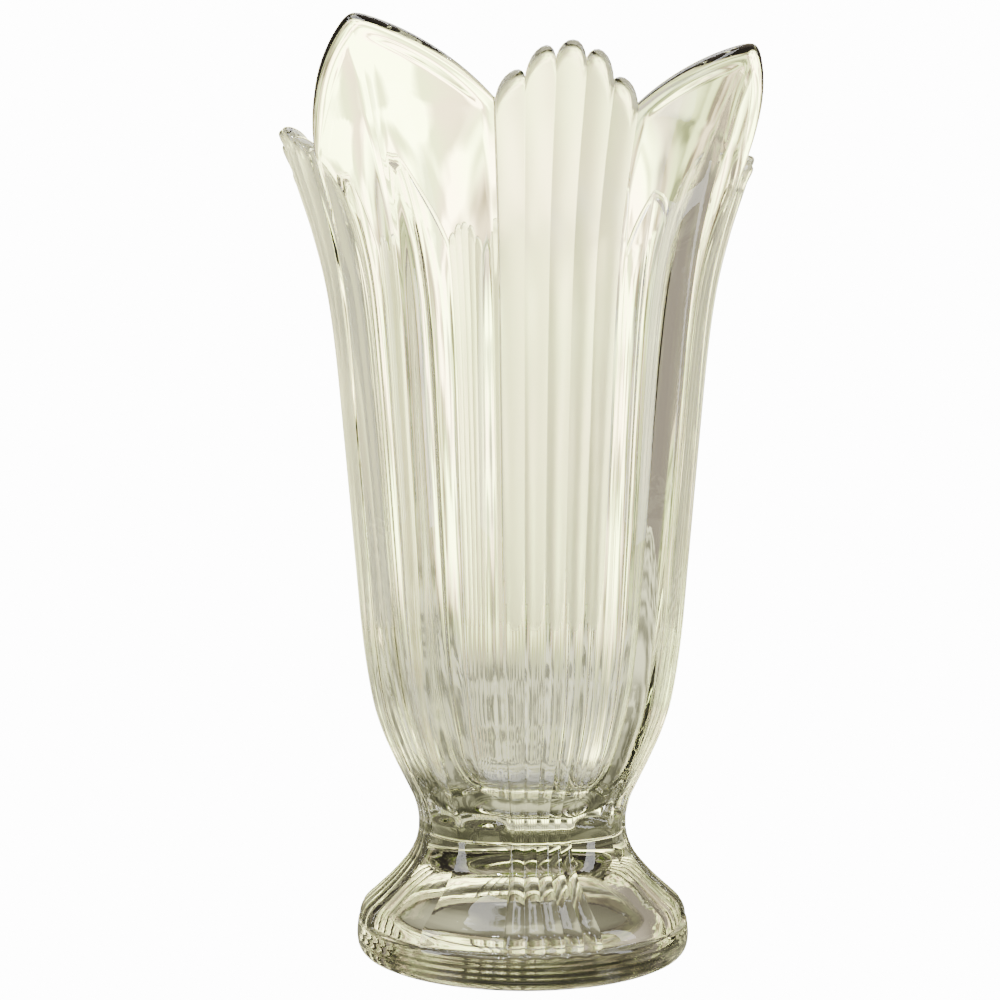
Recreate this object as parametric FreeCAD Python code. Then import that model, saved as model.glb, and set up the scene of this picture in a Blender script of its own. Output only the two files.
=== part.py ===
import FreeCAD
import Part
import math
import os

# A footed vase of pressed glass, in millimetres and degrees.
# The origin is on the axis at the standing surface, +Z is up, and the four fans face +X, +Y, -X and -Y.

# Overall sizes
vase_height = 251.0        # standing surface to the petal tips
foot_height = 34.0         # standing surface to the lower edge of the neck band
tip_radius = 79.0          # axis to the petal tips
neck_radius = 30.3         # axis to the reeds' crests at the neck band
foot_radius = 47.2         # axis to the shoulder of the foot

# Pattern round the vase
fans = 4                   # fans, with as many petals between them
reeds = 5                  # convex reeds in each fan
fan_half_angle = 16.0      # centre of a fan to its side
side_angle = 0.6           # how far a fan's side leans out towards the petal

# Depths of the pattern
reed_depth_share = 0.095   # depth of the notch between two reeds, as a share of a reed's width
low_side_step = 1.1        # fan crest to the petal beside it, at the neck
rim_side_step = 2.9        # the same, at the valley of the rim
foot_side_step = 1.4       # the same, on the foot
facet_belly_share = 0.12   # how far a petal's facets bulge from flat towards round
neck_belly_share = 0.8     # the same, near the neck and on the foot
rim_belly_share = 1.6      # the same, at the rim, where the petals' tips are full and rounded
belly_reach = 45.0         # height below the valley over which the facets fill out
flute_depth = 1.1          # hollow of a petal's flute below its flat facet
flute_lift = 0.35          # how far a flute's edge starts above the facet
flute_land_angle = 0.7     # land left beside the crease and beside the fan
border_width = 4.6         # plain border between the rim and the flutes' arches
neck_band = 3.6            # height of the plain band between the foot and the flutes

# Rim
valley_drop = 23.8         # petal tips down to the valley between fan and petal
fan_drop = 11.2            # petal tips down to the middle lobe of a fan
even_drop_share = 0.76     # part of a petal's drop that falls evenly away from its tip
lip_rounding = 1.6         # how far the lip's edges are rounded down on its lobes and petals
notch_rounding_share = 0.3 # the same in its notches and valleys, as a share

# Glass thickness
ridge_wall = 6.2           # wall at the crests and creases of the body
lip_wall = 5.3             # the same, at the rim
lobe_swing = 1.0           # how far the inside draws in between fans and creases, at the rim
lobing_height = 77.9       # height below the valley over which the inside comes to follow the petals
floor_thickness = 6.5      # lower edge of the neck band to the bowl's inner floor
floor_rounding = 21.0      # height over which the inner floor turns into the wall

# Foot
foot_band_height = 9.0     # standing surface to the scalloped lower ends of the foot's reeds
band_step = 0.3            # how far the foot's edge band stands proud of its shoulder
band_bulge = 0.3           # how far the band's widest place stands proud of its top
ring_inset = 2.6           # shoulder of the foot to the outside of the standing ring
ring_width = 4.2           # width of the standing ring
dome_roof = 6.5            # top of the hollow under the foot to the lower edge of the neck band

cut_overrun = 6.0          # how far every cut runs past what it cuts

# Bowl outline: share of the bowl's height, share of the way from the neck's radius to the tip's
bowl_shares = [
    (0.0, 0.0), (0.018, 0.002), (0.041, 0.029), (0.092, 0.144), (0.129, 0.220), (0.170, 0.280),
    (0.249, 0.342), (0.450, 0.437), (0.658, 0.537), (0.760, 0.614), (0.879, 0.778), (1.0, 1.0),
]
# Inside near the floor: share of the rounding's height, share of the wall's inner radius
floor_shares = [(0.0, 0.45), (0.14, 0.65), (0.46, 0.86), (1.0, 1.0)]
# Rim from the middle of a fan to its side: share of the half angle, share of the rise from valley to fan top
lobe_top_shares = [(0.0, 1.0), (0.4, 0.82), (0.8, 0.40), (1.0, 0.19)]
lobe_notch_shares = [(0.0, 0.85), (0.2, 0.72), (0.6, 0.45), (1.0, 0.0)]
# Places along half a petal's border, as shares of the way from its tip to the valley
border_place_shares = [0.0, 0.04, 0.12, 0.3, 0.5, 0.7, 0.86, 1.0]
# Foot outline: share of the foot's height, share of the way from the neck's radius to the foot's
foot_shares = [(1.0, 0.0), (0.88, 0.06), (0.70, 0.30), (0.50, 0.715), (0.40, 0.93)]
# Edge band of the foot: share of its height, share of the way from the ring's radius to the widest place
band_shares = [(0.55, 1.0), (0.26, 0.84), (0.09, 0.48), (0.0, 0.0)]
# Hollow under the foot: share of the ring's inner radius, share of the hollow's height
dome_shares = [(1.0, 0.0), (0.93, 0.15), (0.84, 0.33), (0.70, 0.62), (0.50, 0.85), (0.24, 0.97), (0.0, 1.0)]

# Sizes that follow from these
crease_angle = 180.0 / fans
facet_angle = crease_angle - fan_half_angle - side_angle
valley_height = vase_height - valley_drop
floor_height = foot_height + floor_thickness
dome_height = foot_height - dome_roof
ring_outer = foot_radius - ring_inset
ring_inner = ring_outer - ring_width


def polar(radius, angle, height):
    turn = math.radians(angle)
    return FreeCAD.Vector(radius * math.cos(turn), radius * math.sin(turn), height)


def line(start, end):
    return Part.LineSegment(start, end).toShape()


def arc(start, middle, end):
    return Part.Arc(start, middle, end).toShape()


def between(pairs, where):
    """Second value of a table at a place among its first values, straight between its entries."""
    for (low, low_value), (high, high_value) in zip(pairs, pairs[1:]):
        if where <= high:
            break
    return low_value + (high_value - low_value) * (where - low) / (high - low)


def chord_radius(first, second, span, angle):
    """Radius of the straight line between two radii a span apart, at an angle from the first."""
    from_first = math.sin(math.radians(angle))
    from_second = math.sin(math.radians(span - angle))
    return first * second * math.sin(math.radians(span)) / (first * from_first + second * from_second)


def bowl_rows():
    """Height and crest radius at each row of the bowl's outline."""
    tall = vase_height - foot_height
    wide = tip_radius - neck_radius
    return [(foot_height + up * tall, neck_radius + out * wide) for up, out in bowl_shares]


def crest_radius(height):
    return between(bowl_rows(), height)


def side_step(height):
    """Depth of a petal's edge below the fan's crests, which grows quickly towards the rim."""
    rise = (height - foot_height) / (valley_height - foot_height)
    return low_side_step + (rim_side_step - low_side_step) * min(rise, 1.0) ** 3


def belly(height):
    """How far a petal's facets bulge, as a share of the way from flat to round."""
    if height < foot_height + 2 * neck_band:
        return neck_belly_share
    rise = max(height - valley_height + belly_reach, 0.0) / belly_reach
    return facet_belly_share + (rim_belly_share - facet_belly_share) * min(rise, 1.0) ** 2


def facet_radius(crest, step, belly_share, angle):
    """Radius of a petal's facet at an angle from its crease."""
    flat = chord_radius(crest, crest - step, facet_angle, angle)
    middle = chord_radius(crest, crest - step, facet_angle, facet_angle / 2)
    share = angle / facet_angle
    return flat + 4 * share * (1 - share) * belly_share * (crest - step / 2 - middle)


# Every wire below goes through the same places in turn. For each fan they are the notches and crests of its
# reeds, and for the petal after it the near edge, the middle of a facet, the crease, the middle of the other
# facet and the far edge.

def reed_places():
    """Places on a fan, from -1 at its near side to 1 at its far side: notches and crests in turn."""
    return [place / reeds - 1 for place in range(2 * reeds + 1)]


def place_angles():
    petal = [-facet_angle, -facet_angle / 2, 0.0, facet_angle / 2, facet_angle]
    return [place * fan_half_angle for place in reed_places()] + [crease_angle + angle for angle in petal]


def outside_radii(heights):
    """Radii of the bowl's outside at the rim's places, from the height of each."""
    return patterned([crest_radius(height) for height in heights], rim_side_step, rim_belly_share)


def patterned(crests, step, belly_share):
    """Radii with notches, side steps and facets taken off the crests."""
    notch_share = reed_depth_share * math.radians(2 * fan_half_angle / reeds)
    fan = [crest * (1 - notch_share * (place % 2 == 0)) for place, crest in enumerate(crests[:2 * reeds + 1])]
    near, middle, crease, other, far = crests[2 * reeds + 1:]
    bulged = facet_radius(middle, step, belly_share, facet_angle / 2)
    return fan + [near - step, bulged, crease, bulged, far - step]


def ring(radii, heights):
    """A closed wire through the places of all fans and petals: an arc for each reed and each facet."""
    edges = []
    side = 2 * reeds
    for fan in range(fans):
        angles = [fan * 360.0 / fans + angle for angle in place_angles()]
        angles.append(angles[0] + 360.0 / fans)
        spots = [polar(*spot) for spot in zip(radii + radii[:1], angles, heights + heights[:1])]
        for reed in range(reeds):
            edges.append(arc(*spots[2 * reed:2 * reed + 3]))
        edges.append(line(spots[side], spots[side + 1]))
        edges.append(arc(*spots[side + 1:side + 4]))
        edges.append(arc(*spots[side + 3:side + 6]))
        edges.append(line(spots[side + 5], spots[side + 6]))
    return Part.Wire(edges)


def level_ring(height, crest, step, belly_share):
    """A level section of the bowl's or the foot's outside."""
    places = len(place_angles())
    return ring(patterned([crest] * places, step, belly_share), [height] * places)


def neck_ring():
    """The section where the bowl and the foot meet, the same for both."""
    return level_ring(foot_height, neck_radius, low_side_step, 1.0)


def petal_drop(share):
    """How far the rim has dropped below the petal's tip, at a share of the way to the valley."""
    return valley_drop * (even_drop_share * share + (1 - even_drop_share) * share ** 3)


def rim_heights():
    """Height of the lip's top at the places."""
    rise = valley_drop - fan_drop
    lobes = []
    for place, where in enumerate(reed_places()):
        table = lobe_top_shares if place % 2 else lobe_notch_shares
        lobes.append(valley_height + between(table, abs(where)) * rise)
    middle = vase_height - petal_drop(0.5)
    return lobes + [valley_height, middle, vase_height, middle, valley_height]


def lip_edge_heights():
    """Height of the lip's outer and inner edges at the places, below its rounded top."""
    full = [place % 2 for place in range(2 * reeds + 1)] + [0, 1, 1, 1, 0]
    rounding = [lip_rounding * (notch_rounding_share + (1 - notch_rounding_share) * place) for place in full]
    return [top - low for top, low in zip(rim_heights(), rounding)]


def inside_radii(heights):
    """Radii of the bowl's inside at the places. Near the rim it follows the fans and petals."""
    radii = []
    for angle, height in zip(place_angles(), heights):
        rise = max(height - valley_height + lobing_height, 0.0) / lobing_height
        wall = ridge_wall + (lip_wall - ridge_wall) * min(rise, 1.0)
        draw = (1 - math.cos(math.radians(2 * fans * angle))) / 2
        radii.append(crest_radius(height) - wall - lobe_swing * rise ** 1.5 * draw)
    return radii


def glass_wall():
    """The bowl in one loft: up the outside, over the lip, down the inside and in across the floor."""
    level_rows = [row for row in bowl_rows() if row[0] < valley_height]
    edge_heights = lip_edge_heights()
    places = len(edge_heights)

    rings = [neck_ring()]
    for height, crest in level_rows[1:]:
        rings.append(level_ring(height, crest, side_step(height), belly(height)))
    rings.append(ring(outside_radii(edge_heights), edge_heights))

    outer = outside_radii(rim_heights())
    inner = inside_radii(edge_heights)
    rings.append(ring([(out + within) / 2 for out, within in zip(outer, inner)], rim_heights()))

    wall_start = floor_height + floor_rounding
    wall_heights = [height for height, crest in level_rows if height > wall_start]
    for heights in [edge_heights] + [[height] * places for height in reversed(wall_heights)]:
        rings.append(ring(inside_radii(heights), heights))
    wall_radius = crest_radius(wall_start) - ridge_wall
    for up, out in reversed(floor_shares):
        rings.append(ring([out * wall_radius] * places, [floor_height + up * floor_rounding] * places))
    return Part.makeLoft(rings, True, True)


def flute_cutter():
    """The hollow of the flute on one side of the crease at +X, up to its pointed arch."""
    start = flute_land_angle
    end = facet_angle - flute_land_angle
    band_top = foot_height + neck_band
    rows = [(band_top, crest_radius(band_top))]
    rows += [(height, crest) for height, crest in bowl_rows() if height > band_top + neck_band / 2]
    wires = []
    for height, crest in rows:
        step = side_step(height)
        near = facet_radius(crest, step, belly(height), start) + flute_lift
        far = facet_radius(crest, step, belly(height), end) + flute_lift
        deep = facet_radius(crest, step, belly(height), facet_angle / 2) - flute_depth
        outer = crest + cut_overrun
        corners = [polar(outer, end, height), polar(outer, start, height), polar(near, start, height)]
        bottom = polar(deep, facet_angle / 2, height)
        last = polar(far, end, height)
        wires.append(Part.Wire([line(corners[0], corners[1]), line(corners[1], corners[2]),
                                arc(corners[2], bottom, last), line(last, corners[0])]))
    return Part.makeLoft(wires, True, True).common(below_border())


def below_border():
    """Everything below the border of the half petal beside the crease at +X, with sides that point at the axis."""
    reach = crease_angle - fan_half_angle
    base = foot_height - cut_overrun
    wires = []
    for plane in (neck_radius / 2, tip_radius + cut_overrun):
        far = plane * math.tan(math.radians(reach))
        arch = []
        for share in border_place_shares:
            across = plane * math.tan(math.radians(share * reach))
            arch.append(FreeCAD.Vector(plane, across, vase_height - petal_drop(share) - border_width))
        curve = Part.BSplineCurve()
        curve.interpolate(arch)
        near_base = FreeCAD.Vector(plane, 0, base)
        far_base = FreeCAD.Vector(plane, far, base)
        wires.append(Part.Wire([line(near_base, arch[0]), curve.toShape(), line(arch[-1], far_base),
                                line(far_base, near_base)]))
    return Part.makeLoft(wires, True, True)


def around(shape, start_angle):
    """Copies of a shape that faces +X, one for each fan, the first at the start angle."""
    copies = []
    for fan in range(fans):
        copy = shape.copy()
        copy.rotate(FreeCAD.Vector(0, 0, 0), FreeCAD.Vector(0, 0, 1), start_angle + fan * 360.0 / fans)
        copies.append(copy)
    return copies


def bowl():
    flute = flute_cutter()
    twin = flute.mirror(FreeCAD.Vector(0, 0, 0), FreeCAD.Vector(0, 1, 0))
    return glass_wall().cut(around(flute, crease_angle) + around(twin, crease_angle))


def foot_pedestal():
    """The reeded flare between the neck band and the foot's edge band."""
    wires = [neck_ring()]
    for up, out in foot_shares[1:] + [(foot_band_height / foot_height, 1.0)]:
        crest = neck_radius + out * (foot_radius - neck_radius)
        wires.append(level_ring(up * foot_height, crest, foot_side_step, neck_belly_share))
    return Part.makeLoft(wires, True, True)


def turned(outline):
    """A solid turned round the axis from the points of its outline, some of which make one smooth curve."""
    edges = []
    for points in outline:
        if len(points) == 2:
            edges.append(line(points[0], points[1]))
        else:
            curve = Part.BSplineCurve()
            curve.interpolate(points)
            edges.append(curve.toShape())
    return Part.Face(Part.Wire(edges)).revolve(FreeCAD.Vector(0, 0, 0), FreeCAD.Vector(0, 0, 1), 360)


def foot_band():
    """The smooth edge band that the reeds end on, rounded down to the standing ring."""
    top_radius = foot_radius + band_step
    wide = top_radius + band_bulge - ring_outer
    axis_top = FreeCAD.Vector(0, 0, foot_band_height)
    points = [axis_top, FreeCAD.Vector(top_radius, 0, foot_band_height)]
    points += [FreeCAD.Vector(ring_outer + out * wide, 0, up * foot_band_height) for up, out in band_shares]
    points += [FreeCAD.Vector(0, 0, 0), axis_top]
    return turned(list(zip(points, points[1:])))


def dome():
    """The hollow under the foot, from the standing ring to its rounded top."""
    curve = [FreeCAD.Vector(out * ring_inner, 0, up * dome_height) for out, up in dome_shares]
    start = FreeCAD.Vector(ring_inner, 0, -cut_overrun)
    axis = FreeCAD.Vector(0, 0, -cut_overrun)
    return turned([(start, curve[0]), curve, (curve[-1], axis), (axis, start)])


def foot():
    return foot_pedestal().fuse(foot_band()).cut(dome())


def write(name, shape):
    solids = shape.Solids
    facets = len(shape.tessellate(0.1)[1])
    print(name, "solids", len(solids), "valid", shape.isValid(), "volume", round(shape.Volume), "facets", facets)
    box = shape.BoundBox
    print("   box", round(box.XMin, 2), round(box.YMin, 2), round(box.ZMin, 2), round(box.XMax, 2),
          round(box.YMax, 2), round(box.ZMax, 2))
    solids[0].exportStep(os.path.join("parts", name + ".step"))


os.makedirs("parts", exist_ok=True)
write("bowl", bowl())
write("foot", foot())
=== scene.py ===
import bpy
import math
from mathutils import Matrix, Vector


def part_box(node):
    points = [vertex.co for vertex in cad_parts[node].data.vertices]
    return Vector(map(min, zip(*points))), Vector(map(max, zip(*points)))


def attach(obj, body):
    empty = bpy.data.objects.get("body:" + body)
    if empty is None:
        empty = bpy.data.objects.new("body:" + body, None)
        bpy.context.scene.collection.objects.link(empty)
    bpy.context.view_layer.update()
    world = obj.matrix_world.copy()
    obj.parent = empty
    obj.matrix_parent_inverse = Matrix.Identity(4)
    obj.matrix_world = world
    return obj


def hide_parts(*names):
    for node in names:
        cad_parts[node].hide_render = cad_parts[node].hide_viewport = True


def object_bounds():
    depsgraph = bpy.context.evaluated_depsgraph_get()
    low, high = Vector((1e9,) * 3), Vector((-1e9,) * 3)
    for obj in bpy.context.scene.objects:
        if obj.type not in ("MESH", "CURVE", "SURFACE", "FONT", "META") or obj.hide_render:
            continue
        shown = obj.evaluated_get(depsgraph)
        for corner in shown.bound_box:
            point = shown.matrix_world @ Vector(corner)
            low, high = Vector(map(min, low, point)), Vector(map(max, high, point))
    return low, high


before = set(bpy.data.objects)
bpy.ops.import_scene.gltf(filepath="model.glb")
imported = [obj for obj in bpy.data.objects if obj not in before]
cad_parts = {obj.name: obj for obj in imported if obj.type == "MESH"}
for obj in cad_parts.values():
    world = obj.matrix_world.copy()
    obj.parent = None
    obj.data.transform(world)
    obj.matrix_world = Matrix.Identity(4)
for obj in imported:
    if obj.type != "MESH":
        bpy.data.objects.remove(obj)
cad_low, cad_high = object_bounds()

# Bowl
# The tall trumpet of pressed glass: four frosted fans of five reeds, curling out to lobed tops, and four
# clear petals between them, each creased down its middle with two shallow flutes that end in pointed
# arches. It is one thick wall of glass with a rounded lip, fused to the foot at the neck band.

vase_height = cad_high.z - cad_low.z
neck_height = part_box("foot")[1].z
tip_radius = 0.079
neck_radius = 0.0303

# Fans and petals round the vase: each petal has two facets, one on either side of its crease
fans = 4
reeds = 5
fan_half_angle = 16.0
reed_angle = 2 * fan_half_angle / reeds
side_angle = 0.6
crease_angle = 180.0 / fans
facet_angle = crease_angle - fan_half_angle - side_angle

# Reeds and fan sides: how deep they are, low down and at the rim
reed_depth_share = 0.12
rim_reed_share = 0.045
low_side_step = 0.0011
rim_side_step = 0.0029
side_step_power = 3

# Facets: how far they swell at the rim, and the flutes pressed into them above the neck band
facet_belly_share = 0.12
rim_belly_share = 1.6
belly_reach = 0.045
flute_depth = 0.0019
flute_rise = 0.00035
flute_land_angle = 0.7
flute_edge = 0.0022
border_width = 0.0046
neck_band = 0.0036
band_fade = 0.012

# Frost: its foot on the fans, how far the clear gaps rise at the notches, and its soft edge
frost_foot = 0.091
frost_scallop = 0.016
frost_scallop_power = 4
frost_fade = 0.0015

# Rim: the petals' arches, the fans' lobes and the beads just below the lobes
valley_drop = 0.0238
fan_drop = 0.0112
even_drop_share = 0.76
steep_drop_power = 3
tip_rounding_share = 0.06
lobe_side_power = 2.3
lobe_top_power = 0.62
bead_swell = 0.0007
bead_height = 0.006
bead_full_height = bead_height / 3

# Wall: its thickness, the lobing of its inside near the rim, its lip and its floor
ridge_wall = 0.0062
lip_wall = 0.0053
lobe_swing = 0.001
lobe_swing_power = 1.5
lobing_height = 0.0779
lip_fullness = 0.66
lip_rise_share = 0.75
lean_reach = 0.002
floor_thickness = 0.0065
floor_rounding = 0.021

# Outline: share of the bowl's height, share of the way from the neck's radius to the tip's
bowl_shares = [
    (0.0, 0.0), (0.018, 0.002), (0.041, 0.029), (0.064, 0.080), (0.092, 0.144), (0.129, 0.220),
    (0.170, 0.280), (0.249, 0.342), (0.359, 0.395), (0.520, 0.469), (0.658, 0.537), (0.741, 0.597),
    (0.815, 0.683), (0.879, 0.778), (0.935, 0.862), (1.0, 1.0), (1.022, 1.048),
]
# Inside near the floor: share of the rounding's height, share of the wall's inner radius
floor_shares = [
    (0.0, 0.0), (0.003, 0.22), (0.012, 0.43), (0.06, 0.56), (0.20, 0.70), (0.43, 0.84), (0.70, 0.93),
    (1.0, 1.0),
]
# Lobes of a fan's top: share of the half angle and of the rise at each lobe's ends, and its top
lobe_shares = [(0.0, 0.2, 1.0, 0.68, 1.0), (0.2, 0.6, 0.68, 0.36, 0.85), (0.6, 1.0, 0.36, 0.0, 0.40)]


def curve_through(pairs):
    """A smooth curve through pairs of place and value, with each slope taken from the neighbours."""
    places = [place for place, value in pairs]
    values = [value for place, value in pairs]
    last = len(pairs) - 1
    slopes = []
    for index in range(last + 1):
        low, high = max(index - 1, 0), min(index + 1, last)
        slopes.append((values[high] - values[low]) / (places[high] - places[low]))

    def value_at(place):
        """The curve's value at a place."""
        index = 0
        while index < last - 1 and place > places[index + 1]:
            index += 1
        span = places[index + 1] - places[index]
        t = min(max((place - places[index]) / span, 0.0), 1.0)
        start = values[index] * (1 + 2 * t) * (1 - t) ** 2 + slopes[index] * span * t * (1 - t) ** 2
        return start + values[index + 1] * t * t * (3 - 2 * t) - slopes[index + 1] * span * t * t * (1 - t)
    return value_at


def smooth_step(low, high, value):
    """From 0 at the low value to 1 at the high one, with level ends."""
    t = min(max((value - low) / (high - low), 0.0), 1.0)
    return t * t * (3 - 2 * t)


bowl_tall = vase_height - neck_height
bowl_curve = curve_through(bowl_shares)
valley_height = vase_height - valley_drop
floor_height = neck_height + floor_thickness
fan_rise = valley_drop - fan_drop


def crest_radius(height):
    """Radius of the bowl's outside at the crests of its reeds and creases."""
    return neck_radius + (tip_radius - neck_radius) * bowl_curve((height - neck_height) / bowl_tall)


def chord_radius(first, second, span, angle):
    """Radius of the straight line between two radii a span apart, at an angle from the first."""
    from_first = math.sin(math.radians(angle))
    from_second = math.sin(math.radians(span - angle))
    return first * second * math.sin(math.radians(span)) / (first * from_first + second * from_second)


def from_fan(angle):
    """Angle from the middle of the nearest fan, without its sign."""
    return abs((angle + crease_angle) % (2 * crease_angle) - crease_angle)


def off_crest(away):
    """How far a place on a fan lies from its reed's crest, from 0 at the crest to 1 at the notch."""
    return abs(2 * ((away + reed_angle / 2) % reed_angle / reed_angle - 0.5))


def petal_drop(away):
    """How far the rim has dropped below the petal's rounded tip, at an angle from the fan's middle."""
    share = (crease_angle - away) / (crease_angle - fan_half_angle)
    rounded = math.hypot(share, tip_rounding_share) - tip_rounding_share
    even = rounded / (math.hypot(1.0, tip_rounding_share) - tip_rounding_share)
    return valley_drop * (even_drop_share * even + (1 - even_drop_share) * share ** steep_drop_power)


def rim_height(angle):
    """Height of the rim: a pointed arch over each petal and five lobes over each fan."""
    away = from_fan(angle)
    if away > fan_half_angle:
        return vase_height - petal_drop(away)
    share = away / fan_half_angle
    for start, end, start_rise, end_rise, top in lobe_shares:
        if share <= end:
            break
    if start == 0.0:
        # The middle lobe lies on both sides of the fan's middle
        start, start_rise = -end, end_rise
    t = (share - start) / (end - start)
    bump = top - (start_rise + end_rise) / 2
    round_top = max(1 - abs(2 * t - 1) ** lobe_side_power, 0.0) ** lobe_top_power
    return valley_height + fan_rise * (start_rise + (end_rise - start_rise) * t + bump * round_top)


def patterned_radius(angle, crest, step, belly_share, depth_share):
    """Radius of a reeded fan or a faceted petal whose crests lie at one radius."""
    away = from_fan(angle)
    depth = depth_share * crest * math.radians(reed_angle)
    if away <= fan_half_angle:
        return crest - depth * off_crest(away) ** 2
    if away < fan_half_angle + side_angle:
        lean = (away - fan_half_angle) / side_angle
        return crest - depth - (step - depth) * lean
    beyond = away - fan_half_angle - side_angle
    flat = chord_radius(crest - step, crest, facet_angle, beyond)
    middle = chord_radius(crest - step, crest, facet_angle, facet_angle / 2)
    share = beyond / facet_angle
    return flat + 4 * share * (1 - share) * belly_share * (crest - step / 2 - middle)


def flute_hollow(angle, height):
    """Depth of a petal's flute, which fades out at its arched border and at the neck band."""
    away = from_fan(angle)
    beyond = away - fan_half_angle - side_angle - flute_land_angle
    across = beyond / (facet_angle - 2 * flute_land_angle)
    if not 0.0 < across < 1.0:
        return 0.0
    hollow = max((flute_depth + flute_rise) * (1 - (2 * across - 1) ** 2) - flute_rise, 0.0)
    arch = vase_height - petal_drop(away) - border_width
    below_arch = smooth_step(0.0, flute_edge, arch - height)
    above_band = smooth_step(0.0, flute_edge, height - neck_height - neck_band)
    fade = below_arch * above_band
    return hollow * fade


def lobe_bead(angle, height):
    """How far a lobe swells outwards into its rounded bead just below the rim."""
    away = from_fan(angle)
    if away > fan_half_angle:
        return 0.0
    top = rim_height(angle)
    swell = bead_swell * smooth_step(top - bead_height, top - bead_full_height, height)
    return swell * (1 - off_crest(away) ** 2)


def bowl_outside(angle, height):
    """Radius of the bowl's outside: reeds that grow shallower upwards, and facets that swell at the rim."""
    rise = (height - neck_height) / (valley_height - neck_height)
    step = low_side_step + (rim_side_step - low_side_step) * min(rise, 1.0) ** side_step_power
    above_neck = smooth_step(neck_height, neck_height + band_fade, height)
    belly_share = 1.0 + (facet_belly_share - 1.0) * above_neck
    reach = min(max(height - valley_height + belly_reach, 0.0) / belly_reach, 1.0)
    belly_share += (rim_belly_share - facet_belly_share) * reach ** 2
    shallower = smooth_step(frost_foot, valley_height, height)
    depth_share = reed_depth_share + (rim_reed_share - reed_depth_share) * shallower
    radius = patterned_radius(angle, crest_radius(height), step, belly_share, depth_share)
    return radius - flute_hollow(angle, height) + lobe_bead(angle, height)


def bowl_inside(angle, height):
    """Radius of the bowl's inside, which near the rim is drawn in a little between fans and creases."""
    rise = max(height - valley_height + lobing_height, 0.0) / lobing_height
    wall = ridge_wall + (lip_wall - ridge_wall) * min(rise, 1.0)
    draw = (1 - math.cos(math.radians(2 * fans * angle))) / 2
    return crest_radius(height) - wall - lobe_swing * rise ** lobe_swing_power * draw


# Columns and rows of the mesh, and the zones at the neck, the frost's foot and the rim with closer rows
reed_columns = 5
side_columns = 3
facet_columns = 24
neck_zone = 0.010
frost_zone_below = 0.002
frost_zone_above = 0.018
rim_zone = 0.055
outside_rows = [16, 20, 20, 24, 66]
inside_rows = [26, 24]
lip_steps = 12
floor_steps = 28
cap_shares = (0.3, 0.7)


def column_angles():
    """Angles of the columns round the vase, closest together at notches, fan sides and creases."""
    quarter = []
    for reed in range(reeds):
        middle = (reed - (reeds - 1) / 2) * reed_angle
        for step in range(-reed_columns, reed_columns):
            quarter.append(middle + reed_angle / 2 * math.sin(math.pi / 2 * step / reed_columns))
    half = [fan_half_angle + side_angle * step / side_columns for step in range(side_columns)]
    for step in range(facet_columns + 1):
        half.append(crease_angle - facet_angle * (0.5 + 0.5 * math.cos(math.pi * step / facet_columns)))
    quarter += half + [2 * crease_angle - angle for angle in reversed(half[1:-1])]
    return [fan * 360.0 / fans + angle for fan in range(fans) for angle in quarter]


def spaced(places, counts):
    """Places from the first to the last, with a count of even steps in each stretch."""
    spots = [places[0]]
    for start, end, count in zip(places, places[1:], counts):
        spots += [start + (end - start) * step / count for step in range(1, count + 1)]
    return spots


def cap_points(radius, height):
    """A flat round cap's points from the axis outwards, without its edge."""
    return [(0.0, height)] + [(radius * share, height) for share in cap_shares]


def turned_mesh(name, angles, columns):
    """A closed mesh from one profile of radius and height for each angle, with both ends on the axis."""
    inner = len(columns[0]) - 2
    count = len(angles)
    points = []
    for angle, column in zip(angles, columns):
        turn = math.radians(angle)
        for radius, height in column[1:-1]:
            points.append((radius * math.cos(turn), radius * math.sin(turn), height))
    faces = []
    for index in range(count):
        after = (index + 1) % count
        for row in range(inner - 1):
            a, b = index * inner + row, after * inner + row
            faces.append((a, b, b + 1, a + 1))
    first = len(points)
    points += [(0.0, 0.0, columns[0][0][1]), (0.0, 0.0, columns[0][-1][1])]
    for index in range(count):
        after = (index + 1) % count
        faces.append((first, after * inner, index * inner))
        faces.append((first + 1, index * inner + inner - 1, after * inner + inner - 1))
    mesh = bpy.data.meshes.new(name)
    mesh.from_pydata(points, [], faces)
    mesh.update()
    piece = bpy.data.objects.new(name, mesh)
    bpy.context.scene.collection.objects.link(piece)
    for polygon in mesh.polygons:
        polygon.use_smooth = True
    return piece


def lip_points(outer, inner, lean, pull):
    """The rounded lip between the wall's outer and inner top, which leans with the wall."""
    points = []
    for step in range(1, lip_steps):
        t = step / lip_steps
        near, far = 3 * t * (1 - t) ** 2, 3 * t * t * (1 - t)
        start, end = (1 - t) ** 3 + near, t ** 3 + far
        radius = outer[0] * start + inner[0] * end + pull * lean[0] * (near + far)
        height = outer[1] * start + inner[1] * end + pull * lean[1] * (near + far)
        points.append((radius, height))
    return points


angles = column_angles()

# The bowl's floor, from the axis out to the wall
wall_start = floor_height + floor_rounding
floor_radius = bowl_inside(0.0, wall_start)
floor_out = curve_through([(index, out) for index, (up, out) in enumerate(floor_shares)])
floor_up = curve_through([(index, up) for index, (up, out) in enumerate(floor_shares)])
floor_points = []
for step in range(floor_steps + 1):
    place = (len(floor_shares) - 1) * step / floor_steps
    floor_points.append((floor_radius * floor_out(place), floor_height + floor_rounding * floor_up(place)))

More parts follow.
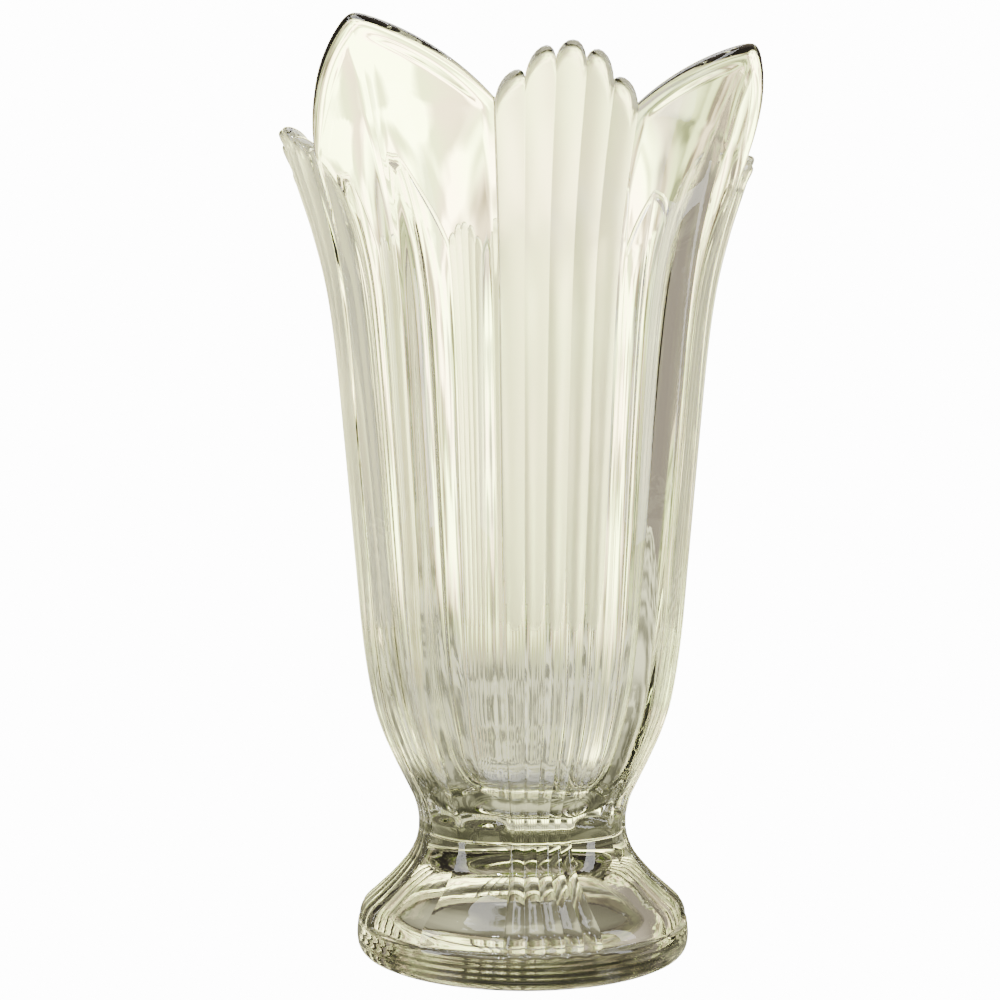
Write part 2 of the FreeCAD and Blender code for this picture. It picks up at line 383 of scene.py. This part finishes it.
# One profile for each angle: under the bowl, up its outside, over its lip and down its inside to the floor
frost_low = frost_foot - frost_zone_below
frost_high = frost_foot + frost_zone_above
columns = []
for angle in angles:
    rim = rim_height(angle)
    below = rim - lip_wall / 2
    lean_out = bowl_outside(angle, below) - bowl_outside(angle, below - lean_reach)
    lean_length = math.hypot(lean_out, lean_reach)
    lean = (lean_out / lean_length, lean_reach / lean_length)
    pull = lip_fullness * (bowl_outside(angle, below) - bowl_inside(angle, below))
    top = rim - lip_rise_share * pull * lean[1]
    stretches = [neck_height, neck_height + neck_zone, frost_low, frost_high, top - rim_zone, top]
    outside = [(bowl_outside(angle, height), height) for height in spaced(stretches, outside_rows)]
    down = spaced([top, top - rim_zone, wall_start], inside_rows)[:-1]
    inside = [(bowl_inside(angle, height), height) for height in down]
    lip = lip_points(outside[-1], inside[0], lean, pull)
    cap = cap_points(outside[0][0], neck_height)
    columns.append(cap + outside + lip + inside + list(reversed(floor_points)))

bowl = turned_mesh("bowl_glass", angles, columns)

# Glass: how it bends light, its colour and ripples, and the satin, slightly milky etch
glass_bending = 1.5
polished_roughness = 0.0
full_clearness = 1.0
clear_colour = (0.985, 0.99, 0.975, 1.0)
body_colour = (0.80, 0.82, 0.68, 1.0)
body_density = 11.0
ripple_scale = 60.0
ripple_detail = 1.0
ripple_drawing = (1.0, 1.0, 0.22)
ripple_strength = 0.12
ripple_depth = 0.001
satin_colour = (0.99, 1.0, 0.97, 1.0)
satin_roughness = 0.30
milky_colour = (0.99, 1.0, 0.93, 1.0)
milky_share = 0.35


def bare_nodes(owner, output_kind):
    """The emptied nodes and the links of a material or a room, and its new output."""
    owner.use_nodes = True
    nodes = owner.node_tree.nodes
    nodes.clear()
    return nodes, owner.node_tree.links, nodes.new(output_kind)


def glass_shader(nodes, colour, roughness, clearness):
    """Glass of one colour, from polished to ground and from clear to cloudy."""
    shader = nodes.new("ShaderNodeBsdfPrincipled")
    shader.inputs["Base Color"].default_value = colour
    shader.inputs["Roughness"].default_value = roughness
    shader.inputs["IOR"].default_value = glass_bending
    shader.inputs["Transmission Weight"].default_value = clearness
    return shader


def noise_node(nodes, links, place, scale, detail):
    """Soft unevenness of one scale over a surface."""
    node = nodes.new("ShaderNodeTexNoise")
    node.inputs["Scale"].default_value = scale
    node.inputs["Detail"].default_value = detail
    links.new(place, node.inputs["Vector"])
    return node.outputs["Fac"]


def pressed_glass(name, frosted):
    """Clear glass with a faint grey-green body and long ripples, and a satin etch where the frost lies."""
    material = bpy.data.materials.new(name)
    nodes, links, output = bare_nodes(material, "ShaderNodeOutputMaterial")
    clear = glass_shader(nodes, clear_colour, polished_roughness, full_clearness)
    clear.name = "clear glass"
    place = nodes.new("ShaderNodeTexCoord")
    drawn = nodes.new("ShaderNodeMapping")
    drawn.inputs["Scale"].default_value = ripple_drawing
    links.new(place.outputs["Object"], drawn.inputs["Vector"])
    ripple = noise_node(nodes, links, drawn.outputs["Vector"], ripple_scale, ripple_detail)
    bump = nodes.new("ShaderNodeBump")
    bump.inputs["Strength"].default_value = ripple_strength
    bump.inputs["Distance"].default_value = ripple_depth
    links.new(ripple, bump.inputs["Height"])
    links.new(bump.outputs["Normal"], clear.inputs["Normal"])
    surface = clear
    if frosted:
        satin = glass_shader(nodes, satin_colour, satin_roughness, full_clearness)
        milky = nodes.new("ShaderNodeBsdfTranslucent")
        milky.inputs["Color"].default_value = milky_colour
        etched = nodes.new("ShaderNodeMixShader")
        etched.inputs["Fac"].default_value = milky_share
        links.new(satin.outputs[0], etched.inputs[1])
        links.new(milky.outputs[0], etched.inputs[2])
        mask = nodes.new("ShaderNodeAttribute")
        mask.attribute_name = "frost"
        surface = nodes.new("ShaderNodeMixShader")
        links.new(mask.outputs["Fac"], surface.inputs["Fac"])
        links.new(clear.outputs[0], surface.inputs[1])
        links.new(etched.outputs[0], surface.inputs[2])
    links.new(surface.outputs[0], output.inputs["Surface"])
    body = nodes.new("ShaderNodeVolumeAbsorption")
    body.inputs["Color"].default_value = body_colour
    body.inputs["Density"].default_value = body_density
    links.new(body.outputs[0], output.inputs["Volume"])
    return material


def fused_seam():
    """The fused joint inside the glass, which nothing shows."""
    material = bpy.data.materials.new("fused seam")
    nodes, links, output = bare_nodes(material, "ShaderNodeOutputMaterial")
    through = nodes.new("ShaderNodeBsdfTransparent")
    links.new(through.outputs[0], output.inputs["Surface"])
    return material


bowl.data.materials.append(pressed_glass("pressed glass with frosted fans", True))
seam = fused_seam()
bowl.data.materials.append(seam)

# The flat underside, within a slack for rounding, is the joint with the foot
level_slack = 1e-6
for polygon in bowl.data.polygons:
    if all(bowl.data.vertices[index].co.z < neck_height + level_slack for index in polygon.vertices):
        polygon.material_index = 1
        polygon.use_smooth = False

# The frost lies on the outside of the fans only
first_outside = len(cap_shares)
last_outside = first_outside + sum(outside_rows)
values = []
for angle, column in zip(angles, columns):
    away = from_fan(angle)
    start = frost_foot + frost_scallop * off_crest(away) ** frost_scallop_power
    for row, (radius, height) in enumerate(column[1:-1]):
        on_fan = away <= fan_half_angle and first_outside <= row <= last_outside
        values.append(smooth_step(start, start + frost_fade, height) if on_fan else 0.0)
values += [0.0, 0.0]
frost = bowl.data.attributes.new("frost", "FLOAT", "POINT")
frost.data.foreach_set("value", values)
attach(bowl, "root")
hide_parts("bowl")

# Foot
# The flared pedestal under the neck band, of the same glass. The reeds and creases run on down it and end
# in scallops on a smooth, rounded edge band, where the glass is tinted nearly black as painted shade. It is
# hollow below, with a turned dome inside a narrow ring that is ground flat for the vase to stand on.

# Flare: its size, and how the pattern on it changes over the upper part of its height
foot_radius = 0.0472
foot_side_step = 0.0014
foot_reed_share = 0.18
foot_flattening_share = 0.2
foot_change_share = 0.4

# Edge band with its scallops, standing ring, and dome with the faint lines that turning leaves
foot_band_height = 0.009
scallop_ledge = 0.0005
band_step = 0.0003
band_bulge = 0.0003
ring_inset = 0.0026
ring_width = 0.0042
dome_roof = 0.0065
tool_line_depth = 0.00004
tool_line_pitch = 0.0011

# Rows of the mesh down the flare, the edge band and the dome
flare_rows = [56, 3]
band_stop_shares = [0.0, 0.55, 0.91, 1.0]
band_rows = [6, 10, 8]
dome_steps = 110

# Glass: painted shade, nearly black, at the edge band and clear above it, and ground on the standing ring
edge_shade_fade = 0.0015
painted_edge_shade_colour = (0.12, 0.118, 0.125, 1.0)
flare_colour = (0.95, 0.955, 0.92, 1.0)
# The standing ring is ground, and its dark grey tint is painted shade
ring_painted_shade_colour = (0.30, 0.30, 0.25, 1.0)
ring_roughness = 0.6
ring_clearness = 0.4

# Outline: share of the foot's height, share of the way from the neck's radius to the foot's
foot_shares = [
    (0.0, 1.0), (0.265, 1.0), (0.34, 0.985), (0.41, 0.915), (0.50, 0.715), (0.60, 0.490), (0.69, 0.315),
    (0.79, 0.155), (0.91, 0.04), (1.0, 0.0),
]
# Edge band: share of its height, share of the way from the ring's radius to the widest place
band_shares = [(1.0, 0.906), (0.8, 0.97), (0.55, 1.0), (0.26, 0.84), (0.09, 0.48), (0.0, 0.0)]
# Hollow under the foot: share of the ring's inner radius, share of the hollow's height
dome_shares = [
    (1.0, 0.0), (0.99, 0.10), (0.945, 0.21), (0.86, 0.36), (0.70, 0.62), (0.50, 0.85), (0.24, 0.97),
    (0.0, 1.0),
]

foot_curve = curve_through(foot_shares)
ring_outer = foot_radius - ring_inset
ring_inner = ring_outer - ring_width
dome_height = neck_height - dome_roof
belly_radius = foot_radius + band_step + band_bulge


def foot_outside(angle, height):
    """Radius of the foot's flare, whose pattern deepens downwards and steps out to the edge band."""
    share = (height - cad_low.z) / neck_height
    crest = neck_radius + (foot_radius - neck_radius) * foot_curve(share)
    change = smooth_step(0.0, foot_change_share, 1.0 - share)
    step = low_side_step + (foot_side_step - low_side_step) * change
    depth_share = reed_depth_share + (foot_reed_share - reed_depth_share) * change
    radius = patterned_radius(angle, crest, step, 1.0 - foot_flattening_share * change, depth_share)
    onto_band = 1 - smooth_step(foot_band_height, foot_band_height + scallop_ledge, height)
    return radius + (foot_radius + band_step - radius) * onto_band


def split_place(nodes, links, place):
    """A place's three lengths."""
    node = nodes.new("ShaderNodeSeparateXYZ")
    links.new(place, node.inputs[0])
    return node.outputs


def ramp_node(nodes, links, value, span, results):
    """A smooth change from the first result to the second while a value crosses a span."""
    node = nodes.new("ShaderNodeMapRange")
    node.interpolation_type = "SMOOTHSTEP"
    node.inputs["From Min"].default_value, node.inputs["From Max"].default_value = span
    node.inputs["To Min"].default_value, node.inputs["To Max"].default_value = results
    links.new(value, node.inputs["Value"])
    return node.outputs["Result"]


def colour_mix(nodes, links, share, first, second):
    """A colour between two others, of which the second may be a socket."""
    node = nodes.new("ShaderNodeMix")
    node.data_type = "RGBA"
    node.inputs["A"].default_value = first
    if isinstance(second, tuple):
        node.inputs["B"].default_value = second
    else:
        links.new(second, node.inputs["B"])
    links.new(share, node.inputs["Factor"])
    return node.outputs["Result"]


# The edge band from the flare down to the ring, and the hollow from the ring up to the top of its dome
band_out = curve_through([(1 - up, out) for up, out in band_shares])
band_points = []
for share in spaced(band_stop_shares, band_rows):
    radius = ring_outer + (belly_radius - ring_outer) * band_out(share)
    band_points.append((radius, foot_band_height * (1 - share)))
dome_out = curve_through([(index, out) for index, (out, up) in enumerate(dome_shares)])
dome_up = curve_through([(index, up) for index, (out, up) in enumerate(dome_shares)])
dome_points = []
for step in range(dome_steps + 1):
    place = (len(dome_shares) - 1) * step / dome_steps
    height = dome_height * dome_up(place)
    line = tool_line_depth * math.sin(2 * math.pi * height / tool_line_pitch) * (1 - step / dome_steps)
    dome_points.append((max(ring_inner * dome_out(place) + line, 0.0), height))

# One profile for each angle, which runs down the outside, so the faces are turned over afterwards
foot_columns = []
for angle in angles:
    cap = cap_points(foot_outside(angle, neck_height), neck_height)
    down = spaced([neck_height, foot_band_height + scallop_ledge, foot_band_height], flare_rows)[:-1]
    flare = [(foot_outside(angle, height), height) for height in down]
    foot_columns.append(cap + flare + band_points + dome_points)
foot = turned_mesh("foot_glass", angles, foot_columns)
foot.data.flip_normals()

foot_glass = pressed_glass("pressed glass", False)
nodes, links = foot_glass.node_tree.nodes, foot_glass.node_tree.links
lengths = split_place(nodes, links, nodes.new("ShaderNodeTexCoord").outputs["Object"])
# Painted shade: the glass's colour turns nearly black over the edge band, below a soft line at its top
edge_shade_span = (foot_band_height - edge_shade_fade, foot_band_height + edge_shade_fade)
above_band = ramp_node(nodes, links, lengths["Z"], edge_shade_span, (0.0, 1.0))
painted_edge_shade = colour_mix(nodes, links, above_band, painted_edge_shade_colour, flare_colour)
links.new(painted_edge_shade, nodes["clear glass"].inputs["Base Color"])
# The ground standing ring, tinted dark grey as painted shade
ground_ring = bpy.data.materials.new("ground ring")
nodes, links, output = bare_nodes(ground_ring, "ShaderNodeOutputMaterial")
ground = glass_shader(nodes, ring_painted_shade_colour, ring_roughness, ring_clearness)
links.new(ground.outputs[0], output.inputs["Surface"])
for material in (foot_glass, seam, ground_ring):
    foot.data.materials.append(material)
for polygon in foot.data.polygons:
    if all(foot.data.vertices[index].co.z > neck_height - level_slack for index in polygon.vertices):
        polygon.material_index = 1
        polygon.use_smooth = False
    elif all(foot.data.vertices[index].co.z < cad_low.z + level_slack for index in polygon.vertices):
        polygon.material_index = 2
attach(foot, "root")
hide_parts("foot")

# Floor and backdrop
# A plain white sheet that the vase stands on and that curves up behind it. It is evenly white to the eye,
# while the glass picks up a softly lit one, brightest behind the vase and dim on the floor and at the sides,
# with cloudy patches, a warm and a green cast by turns, and small pools of light round the foot.

sheet_half_width = 2.4
sheet_front = -2.0
sheet_bend = 1.2
sheet_back = 2.2
sheet_top = 3.0
bend_steps = 12

# What the eye sees, and how strongly the sheet lights the glass from each part of it
plain_white = (1.0, 1.0, 1.0, 1.0)
white_strength = 14.0
sheet_strength = 15.0
bright_centre = -0.09
bright_span = (0.25, 0.90)
side_share = 0.16
horizon_height = 0.20
horizon_share = 0.60
bright_height = 1.0
floor_share = 0.08

# Cloudy patches, shade where the foot stands, and pools of light that fade out away from it
cloud_scale = 3.6
cloud_detail = 1.5
cloud_span = (0.38, 0.62)
cloud_shares = (0.30, 1.45)
contact_span = (0.05, 0.45)
contact_share = 0.40
pool_scale = 24.0
pool_detail = 1.0
pool_span = (0.46, 0.58)
pool_shares = (0.6, 1.9)
pool_reach = (0.18, 0.36)

# Casts of colour
cast_scale = 2.3
cast_detail = 0.0
cast_span = (0.42, 0.60)
green_cast = (0.91, 1.0, 0.40, 1.0)
warm_cast = (1.0, 0.83, 0.45, 1.0)
floor_cast = (1.0, 0.98, 0.62, 1.0)
floor_cast_height = 0.06

bend_radius = sheet_back - sheet_bend
sheet_points = [(sheet_front, 0.0), (sheet_bend, 0.0)]
for step in range(1, bend_steps + 1):
    turn = math.pi / 2 * step / bend_steps
    sheet_points.append((sheet_bend + bend_radius * math.sin(turn), bend_radius * (1 - math.cos(turn))))
sheet_points.append((sheet_back, sheet_top))
corners = [(x, y, z) for y, z in sheet_points for x in (-sheet_half_width, sheet_half_width)]
strips = [(2 * i, 2 * i + 1, 2 * i + 3, 2 * i + 2) for i in range(len(sheet_points) - 1)]
sheet_mesh = bpy.data.meshes.new("white_sheet")
sheet_mesh.from_pydata(corners, [], strips)
sheet = bpy.data.objects.new("white_sheet", sheet_mesh)
bpy.context.scene.collection.objects.link(sheet)
for polygon in sheet_mesh.polygons:
    polygon.use_smooth = True


def maths_node(nodes, links, operation, first, second):
    """A sum on one or two values, each a socket or a number."""
    node = nodes.new("ShaderNodeMath")
    node.operation = operation
    for socket, value in zip(node.inputs, (first, second)):
        if isinstance(value, float):
            socket.default_value = value
        else:
            links.new(value, socket)
    return node.outputs["Value"]


def white_to_the_eye(nodes, links, output, lit, kind):
    """Plain white where it is looked at, and the lit shade where the glass picks it up."""
    white = nodes.new(kind)
    white.inputs["Color"].default_value = plain_white
    white.inputs["Strength"].default_value = white_strength
    seen = nodes.new("ShaderNodeLightPath")
    mix = nodes.new("ShaderNodeMixShader")
    links.new(seen.outputs["Is Camera Ray"], mix.inputs["Fac"])
    links.new(lit.outputs[0], mix.inputs[1])
    links.new(white.outputs[0], mix.inputs[2])
    links.new(mix.outputs[0], output.inputs["Surface"])


paper = bpy.data.materials.new("white paper")
nodes, links, output = bare_nodes(paper, "ShaderNodeOutputMaterial")
place = nodes.new("ShaderNodeTexCoord").outputs["Object"]
lengths = split_place(nodes, links, place)

# Brightest behind the vase, dim at the sides and on the floor
sideways = maths_node(nodes, links, "SUBTRACT", lengths["X"], bright_centre)
sideways = maths_node(nodes, links, "ABSOLUTE", sideways, 0.0)
across = ramp_node(nodes, links, sideways, bright_span, (1.0, side_share))
low = ramp_node(nodes, links, lengths["Z"], (0.0, horizon_height), (floor_share, horizon_share))
high = ramp_node(nodes, links, lengths["Z"], (horizon_height, bright_height), (0.0, 1.0 - horizon_share))
share = maths_node(nodes, links, "MULTIPLY", across, maths_node(nodes, links, "ADD", low, high))
share = maths_node(nodes, links, "MAXIMUM", share, floor_share)

# Cloudy everywhere, shaded near the foot, with pools of light there
clouds = noise_node(nodes, links, place, cloud_scale, cloud_detail)
cloudy = ramp_node(nodes, links, clouds, cloud_span, cloud_shares)
distance = nodes.new("ShaderNodeVectorMath")
distance.operation = "LENGTH"
links.new(place, distance.inputs[0])
contact = ramp_node(nodes, links, distance.outputs["Value"], contact_span, (contact_share, 1.0))
pools = noise_node(nodes, links, place, pool_scale, pool_detail)
pooled = ramp_node(nodes, links, pools, pool_span, pool_shares)
far_off = ramp_node(nodes, links, distance.outputs["Value"], pool_reach, (0.0, 1.0))
pools_near = nodes.new("ShaderNodeMix")
links.new(far_off, pools_near.inputs["Factor"])
links.new(pooled, pools_near.inputs["A"])
pools_near.inputs["B"].default_value = 1.0
near_foot = maths_node(nodes, links, "MULTIPLY", contact, pools_near.outputs["Result"])
uneven = maths_node(nodes, links, "MULTIPLY", cloudy, near_foot)
share = maths_node(nodes, links, "MULTIPLY", share, uneven)

# A green and a warm cast by turns, and a paler one on the floor
casts = noise_node(nodes, links, place, cast_scale, cast_detail)
warmer = ramp_node(nodes, links, casts, cast_span, (0.0, 1.0))
cast = colour_mix(nodes, links, warmer, green_cast, warm_cast)
off_floor = ramp_node(nodes, links, lengths["Z"], (0.0, floor_cast_height), (0.0, 1.0))
glow = nodes.new("ShaderNodeEmission")
links.new(colour_mix(nodes, links, off_floor, floor_cast, cast), glow.inputs["Color"])
links.new(maths_node(nodes, links, "MULTIPLY", share, sheet_strength), glow.inputs["Strength"])
white_to_the_eye(nodes, links, output, glow, "ShaderNodeEmission")
sheet_mesh.materials.append(paper)

# Light
# A soft lamp overhead and a tall soft panel at each side, with two small lamps high in front for glints, in
# a dim warm room that is paler towards its front and its ceiling.

room_colour = (1.0, 0.86, 0.66, 1.0)
room_dark = 0.42
room_front = 0.9
front_span = (0.35, 0.95)
room_ceiling = 0.6
ceiling_span = (0.25, 0.85)

# Lamps: name, place, height on the vase's axis that it faces, width and height, power
lamps = [
    ("lamp_over", (0.0, 0.1, 1.5), 0.10, (1.1, 0.8), 20.0),
    ("lamp_left", (-1.1, -0.35, 0.45), 0.12, (0.30, 1.2), 9.0),
    ("lamp_right", (1.0, -0.55, 0.40), 0.12, (0.22, 1.1), 6.0),
    ("glint_left", (-0.45, -0.75, 1.10), 0.05, (0.06, 0.06), 2.0),
    ("glint_right", (0.35, -0.60, 1.25), 0.05, (0.05, 0.05), 1.6),
]

world = bpy.data.worlds.new("dim warm room")
bpy.context.scene.world = world
nodes, links, output = bare_nodes(world, "ShaderNodeOutputWorld")
lengths = split_place(nodes, links, nodes.new("ShaderNodeTexCoord").outputs["Generated"])
forward = maths_node(nodes, links, "MULTIPLY", lengths["Y"], -1.0)
front = ramp_node(nodes, links, forward, front_span, (room_dark, room_front))
ceiling = ramp_node(nodes, links, lengths["Z"], ceiling_span, (0.0, room_ceiling))
room = nodes.new("ShaderNodeBackground")
room.inputs["Color"].default_value = room_colour
links.new(maths_node(nodes, links, "ADD", front, ceiling), room.inputs["Strength"])
white_to_the_eye(nodes, links, output, room, "ShaderNodeBackground")

for name, place, facing, size, power in lamps:
    light = bpy.data.lights.new(name, "AREA")
    light.shape = "RECTANGLE"
    light.size, light.size_y = size
    light.energy = power
    lamp = bpy.data.objects.new(name, light)
    lamp.location = place
    lamp.rotation_euler = (Vector((0.0, 0.0, facing)) - Vector(place)).to_track_quat("-Z", "Y").to_euler()
    bpy.context.scene.collection.objects.link(lamp)

# Camera
# Near the vase, level with the lower part of its bowl and a little to the left of a fan's middle, tipped up
# to take in the whole height.

camera_distance = 0.37383
camera_height = 0.09667
camera_azimuth = 10.45
camera_turn = 0.9956
camera_pitch = 5.092
lens_length = 45.0
film_width = 36.0
nearest_seen = 0.01
lens = bpy.data.cameras.new("camera")
lens.lens = lens_length
lens.sensor_width = film_width
lens.clip_start = nearest_seen
camera = bpy.data.objects.new("camera", lens)
side = math.radians(camera_azimuth)
tilt = math.radians(90.0 + camera_pitch)
camera.location = (-camera_distance * math.sin(side), -camera_distance * math.cos(side), camera_height)
camera.rotation_euler = (tilt, 0.0, -math.radians(camera_azimuth - camera_turn))
bpy.context.scene.collection.objects.link(camera)
bpy.context.scene.camera = camera
